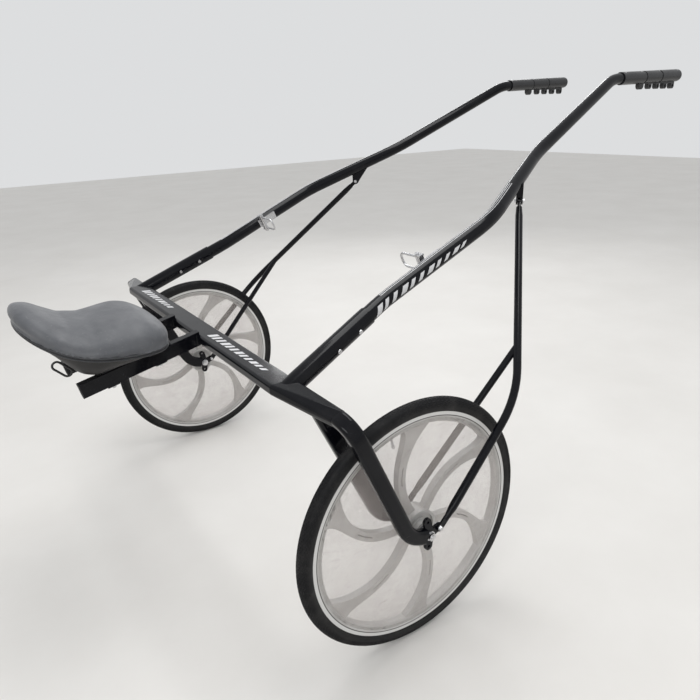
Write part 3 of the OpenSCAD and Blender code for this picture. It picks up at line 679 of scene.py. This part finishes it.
def cushion():
    bm = seat_form(0.002, cushion_height, cushion_spread, tucks=True)
    obj = make_piece("seat_pad", bm, "seat", "cover", ["seat_cushion"], 180.0)
    voxel = obj.modifiers.new("even", "REMESH")
    voxel.mode, voxel.voxel_size, voxel.use_smooth_shade = "VOXEL", 0.005, True
    apply_modifiers(obj)
    inflate(obj)
    relax = obj.modifiers.new("relax", "SMOOTH")
    relax.factor, relax.iterations = 0.5, 4
    apply_modifiers(obj)
    soft = obj.modifiers.new("fine", "SUBSURF")
    soft.levels = soft.render_levels = 1
    apply_modifiers(obj)
    for p in obj.data.polygons:
        p.use_smooth = True
    obj.data.materials.clear()
    obj.data.materials.append(FINISH["cover"])


def seat_edge(name, inset, drop, radius, replaces=(), count=150):
    """A welt round the seat, a little below the seam."""
    ring = []
    for i in range(count):
        x, y = seat_outline(2 * math.pi * i / count, inset)
        ring.append(place(x, y, seam(x) - drop))
    make_piece(name, swept(ring, radius, 10, True), "seat", "welt", replaces, 60.0)


def shell_height(x, share, top):
    """Level of the shell: flat at the seam, and a bowl with full sides below it."""
    if top:
        return seam(x) - 0.001
    deep = seam(x) - shell_low(x)
    wall = max(0.0, 1 - share ** 4.6) ** 0.62
    return seam(x) - 0.001 - max(0.001, deep - 0.001) * wall


cushion()
seat_edge("seat_welt_upper", 0.0075, -0.0015, 0.0030, ["seat_piping"])
seat_edge("seat_welt_lower", 0.0070, 0.0045, 0.0026)
shell_form = seat_form(0.0085, shell_height, shell_spread)
make_piece("seat_shell", shell_form, "seat", "shell", ["seat_pan"], 50.0)


# ------------------------------------------------------------------ lines, bars and welds

ARCH_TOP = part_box("arch")[1].z
ARCH_MIDDLE = -0.258
# Corners of the left shaft's middle line and the radius of each of its bends.
SHAFT = [
    (-0.240, 0.5637, 0.742),
    (0.080, 0.508, 0.878),
    (0.470, 0.507, 1.045),
    (0.822, 0.358, 1.195),
    (1.322, 0.267, 1.419),
    (1.731, 0.269, 1.431),
]
SHAFT_BEND = [0.35, 0.30, 0.50, 0.17]
SHAFT_RADIUS = [(-0.3, 0.022), (0.30, 0.022), (0.822, 0.0205), (1.322, 0.019)]


def shaft_line(steps=14):
    """Middle line of the left shaft, with its corners rounded."""
    corners = [Vector(c) for c in SHAFT]
    line = [corners[0]]
    for i in range(1, len(corners) - 1):
        back = (corners[i - 1] - corners[i]).normalized()
        ahead = (corners[i + 1] - corners[i]).normalized()
        turn = math.pi - back.angle(ahead)
        reach = SHAFT_BEND[i - 1] * math.tan(turn / 2)
        start, end = corners[i] + back * reach, corners[i] + ahead * reach
        for k in range(steps + 1):
            t = k / steps
            line.append(start.lerp(corners[i], t).lerp(corners[i].lerp(end, t), t))
    line.append(corners[-1])
    return line


def along_line(line, x0, x1, step=0.012):
    """Points at even spacing along the part of a line between two X places."""
    xs = [p.x for p in line]
    spots = np.arange(x0, x1, step)
    return [
        Vector((x, *(float(np.interp(x, xs, [p[i] for p in line])) for i in (1, 2))))
        for x in spots
    ]


def on_shaft(side, x0, x1, lift, angle):
    """Path on the shaft's skin. angle runs from straight up (0) to straight outward (90)."""
    pts = along_line(shaft_line(), x0, x1)
    path = []
    for i, p in enumerate(pts):
        ahead = (pts[min(i + 1, len(pts) - 1)] - pts[max(i - 1, 0)]).normalized()
        out = ahead.cross(Vector((0, 0, 1))).normalized() * -1
        up = out.cross(ahead).normalized()
        up = up if up.z > 0 else -up
        a = math.radians(angle)
        spot = p + (up * math.cos(a) + out * math.sin(a)) * (between(SHAFT_RADIUS, p.x) + lift)
        path.append(place(spot.x, side * spot.y, spot.z))
    return path


def silver_piece(name, bm):
    make_piece(name, bm, "frame", "silver line")


def pin_lines(side, word):
    """Two fine silver lines along the top of the shaft, joined in one piece."""
    whole = bmesh.new()
    for angle in (-6, 10):
        strand = swept(on_shaft(side, 0.075, 0.62, -0.0002, angle), 0.0012, 6)
        mesh = bpy.data.meshes.new("strand")
        strand.to_mesh(mesh)
        strand.free()
        whole.from_mesh(mesh)
        bpy.data.meshes.remove(mesh)
    silver_piece(f"shaft_lines_{word}", whole)


def skin_patch(bm, corners, thick):
    """A thin plate through four corners, given a thickness outward."""
    verts = [bm.verts.new(c) for c in corners]
    face = bm.faces.new(verts)
    top = bmesh.ops.extrude_face_region(bm, geom=[face])["geom"]
    rise = [g for g in top if isinstance(g, bmesh.types.BMVert)]
    bmesh.ops.translate(bm, verts=rise, vec=thick)


def shaft_bars(side, word):
    """A row of slanted bars, growing shorter forward, on the outer face of the shaft."""
    bm = bmesh.new()
    count, start, pitch, rows = 11, 0.03, 0.030, 7
    for k in range(count):
        x = start + k * pitch
        half_high = 30 - 1.6 * k
        wide = 0.013 if k % 3 else 0.019
        low = 84 + half_high
        ring = []
        for j in range(rows):
            angle = low - 2 * half_high * j / (rows - 1)
            near = x + 0.016 * j / (rows - 1)
            pair = []
            for w in (0, wide):
                pair.append(on_shaft(side, near + w, near + w + 0.02, 0.0003, angle)[0])
            ring.append([bm.verts.new(p) for p in pair])
        for a, b in zip(ring, ring[1:]):
            bm.faces.new((a[0], a[1], b[1], b[0]))
    bmesh.ops.recalc_face_normals(bm, faces=bm.faces)
    bmesh.ops.solidify(bm, geom=bm.faces[:], thickness=0.0005)
    bmesh.ops.recalc_face_normals(bm, faces=bm.faces)
    silver_piece(f"shaft_bars_{word}", bm)


def arch_bars(name, y0, y1, count):
    """A row of slanted bars along the top of the arch."""
    bm = bmesh.new()
    mid, z = ARCH_MIDDLE, ARCH_TOP - 0.0002
    pitch = (y1 - y0) / count
    for k in range(count):
        y = y0 + pitch * k
        wide = pitch * (0.5 if k % 3 else 0.66)
        deep = 0.013 - 0.0006 * k
        lean = pitch * 0.45
        corners = [
            place(mid - deep, y, z),
            place(mid - deep, y + wide, z),
            place(mid + deep, y + wide + lean, z),
            place(mid + deep, y + lean, z),
        ]
        skin_patch(bm, corners, (0, 0, 0.0005))
    bmesh.ops.recalc_face_normals(bm, faces=bm.faces)
    silver_piece(name, bm)


def weld_bead(name, points):
    """A run of weld along a closed path, its skin rippled."""
    bm = swept(points, 0.0024, 8, True)
    for v in bm.verts:
        v.co += noise.noise_vector(v.co * 210) * 0.0006
    make_piece(name, bm, "frame", "enamel", crease=60.0)


def rail_root(side):
    """Path round the end of a rail where it meets the arch."""
    y, half_w, x = 0.100 * side, 0.0125, -0.2935
    top, low = 0.7575, 0.7345
    corners = [(y - half_w, top), (y + half_w, top), (y + half_w, low), (y - half_w, low)]
    path = []
    for (ya, za), (yb, zb) in zip(corners, corners[1:] + corners[:1]):
        for k in range(6):
            t = k / 6
            path.append(place(x, ya + (yb - ya) * t, za + (zb - za) * t))
    return path


for side, word in SIDES:
    pin_lines(side, word)
    shaft_bars(side, word)
    weld_bead(f"rail_weld_{word}", rail_root(side))
arch_bars("arch_bars_right", -0.135, -0.480, 12)
arch_bars("arch_bars_left", 0.480, 0.200, 10)


# ------------------------------------------------------------------ room, light and camera


def make_stage():
    """A plain pale floor and an even, soft room."""
    bm = bmesh.new()
    bmesh.ops.create_grid(bm, x_segments=1, y_segments=1, size=14.0)
    mesh = bpy.data.meshes.new("floor")
    bm.to_mesh(mesh)
    bm.free()
    floor = bpy.data.objects.new("floor", mesh)
    bpy.context.scene.collection.objects.link(floor)
    mat, tree, bsdf, where = new_finish("pale floor", Specular_IOR_Level=0.25)
    cloud = grain(tree, where, 1.6, 7.0, Roughness=0.62)
    shade = tint(tree, cloud, (0.66, 0.64, 0.61), (0.78, 0.765, 0.74))
    tree.links.new(shade, bsdf.inputs["Base Color"])
    bsdf.inputs["Roughness"].default_value = 0.55
    mesh.materials.append(mat)
    world = bpy.data.worlds.new("soft room")
    bpy.context.scene.world = world
    world.use_nodes = True
    back = world.node_tree.nodes["Background"]
    back.inputs["Color"].default_value = (0.86, 0.87, 0.88, 1)
    back.inputs["Strength"].default_value = 0.84
    bpy.context.scene.view_settings.view_transform = "Standard"


def soft_lamp(name, spot, aim, size, power):
    data = bpy.data.lights.new(name, "AREA")
    data.shape, data.size, data.size_y = "RECTANGLE", size[0], size[1]
    data.energy = power
    lamp = bpy.data.objects.new(name, data)
    bpy.context.scene.collection.objects.link(lamp)
    lamp.location = spot
    lamp.rotation_euler = (Vector(aim) - Vector(spot)).to_track_quat("-Z", "Y").to_euler()


def make_camera():
    yaw, pitch, roll = (math.radians(a) for a in (56.3579, -21.1289, -2.0728))
    level = math.cos(pitch)
    ahead = Vector((math.cos(yaw) * level, math.sin(yaw) * level, math.sin(pitch)))
    right = Vector((math.sin(yaw), -math.cos(yaw), 0))
    up = right.cross(ahead)
    side = right * math.cos(roll) + up * math.sin(roll)
    top = up * math.cos(roll) - right * math.sin(roll)
    data = bpy.data.cameras.new("camera")
    data.sensor_width = 36.0
    data.lens = 32.05187486
    data.clip_start, data.clip_end = 0.05, 100
    cam = bpy.data.objects.new("camera", data)
    bpy.context.scene.collection.objects.link(cam)
    turn = Matrix((side, top, -ahead)).transposed().to_4x4()
    cam.matrix_world = Matrix.Translation(place(-0.8648, -1.7629, 1.3499)) @ turn
    bpy.context.scene.camera = cam


make_stage()
soft_lamp("overhead", (0.2, 0.0, 4.2), (0.1, 0.0, 0.6), (3.4, 1.4), 70)
soft_lamp("window", (-3.2, -2.6, 2.8), (0.0, 0.0, 0.7), (2.4, 0.9), 38)
soft_lamp("rear strip", (2.6, 3.2, 2.6), (0.0, 0.0, 0.8), (2.8, 0.5), 32)
make_camera()
